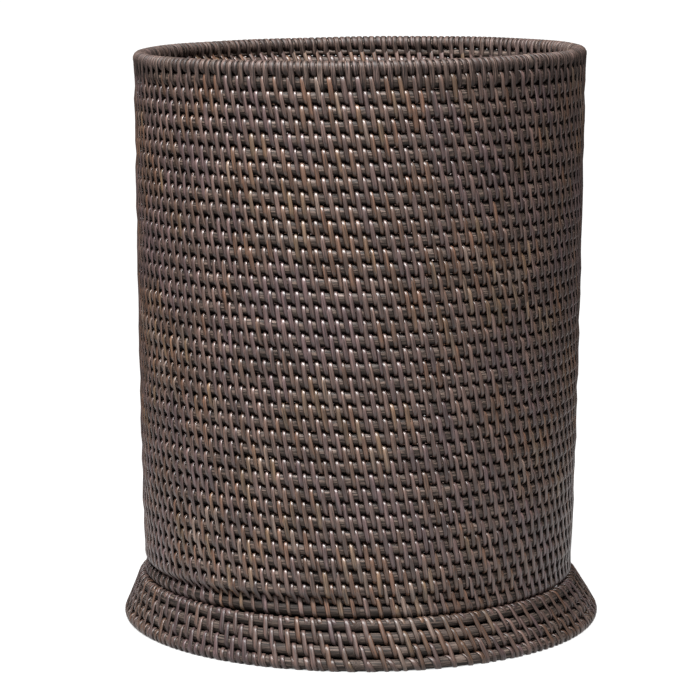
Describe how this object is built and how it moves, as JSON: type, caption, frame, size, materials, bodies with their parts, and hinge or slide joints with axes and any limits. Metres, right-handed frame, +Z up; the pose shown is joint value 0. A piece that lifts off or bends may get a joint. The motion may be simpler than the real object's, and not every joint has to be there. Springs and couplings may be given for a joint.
{
  "type": "wastebasket",
  "caption": "Round open-top coiled rattan wastebasket: laced cane courses rise to a whipped rim, over a coiled floor and a short foot that flares outwards",
  "frame": {"origin": "Centre of the foot's ring on the plane that the basket stands on; the frame is the real object's at rest.", "axes": "+Z up through the open mouth, along the basket's axis of symmetry; X and Y level, the same all the way round."},
  "size_m": [0.2568, 0.2568, 0.305],
  "materials": {
    "wall_cane": "grey-brown stained rattan cane, satin, fine lengthwise grain",
    "foot_cane": "grey-brown stained rattan cane, satin",
    "floor_cane": "grey-brown stained rattan cane, satin",
    "cane_strip": "taupe split-cane strip with a soft shine on its crowned skin side"
  },
  "bodies": {
    "root": {"coil_start_cane": "wall_cane", "floor_course_01": "floor_cane", "floor_course_02": "floor_cane", "floor_course_03": "floor_cane", "floor_course_04": "floor_cane", "floor_course_05": "floor_cane", "floor_course_06": "floor_cane", "floor_course_07": "floor_cane", "floor_course_08": "floor_cane", "floor_course_09": "floor_cane", "floor_course_10": "floor_cane", "floor_course_11": "floor_cane", "floor_course_12": "floor_cane", "floor_course_13": "floor_cane", "floor_eye": "floor_cane", "foot_course_1": "foot_cane", "foot_course_2": "foot_cane", "foot_course_3": "foot_cane", "foot_course_4": "foot_cane", "foot_sole_whipping": "cane_strip", "rim_cane": "wall_cane", "rim_whipping": "cane_strip", "wall_base_cane": "wall_cane", "wall_course_01": "wall_cane", "wall_course_02": "wall_cane", "wall_course_03": "wall_cane", "wall_course_04": "wall_cane", "wall_course_05": "wall_cane", "wall_course_06": "wall_cane", "wall_course_07": "wall_cane", "wall_course_08": "wall_cane", "wall_course_09": "wall_cane", "wall_course_10": "wall_cane", "wall_course_11": "wall_cane", "wall_course_12": "wall_cane", "wall_course_13": "wall_cane", "wall_course_14": "wall_cane", "wall_course_15": "wall_cane", "wall_course_16": "wall_cane", "wall_course_17": "wall_cane", "wall_course_18": "wall_cane", "wall_course_19": "wall_cane", "wall_course_20": "wall_cane", "wall_course_21": "wall_cane", "wall_course_22": "wall_cane", "wall_course_23": "wall_cane", "wall_course_24": "wall_cane", "wall_course_25": "wall_cane", "wall_course_26": "wall_cane", "wall_course_27": "wall_cane", "wall_course_28": "wall_cane", "wall_course_29": "wall_cane", "wall_course_30": "wall_cane", "wall_course_31": "wall_cane", "wall_course_32": "wall_cane", "wall_course_33": "wall_cane", "wall_course_34": "wall_cane", "wall_course_35": "wall_cane", "wall_course_36": "wall_cane", "wall_course_37": "wall_cane"}
  },
  "joints": []
}
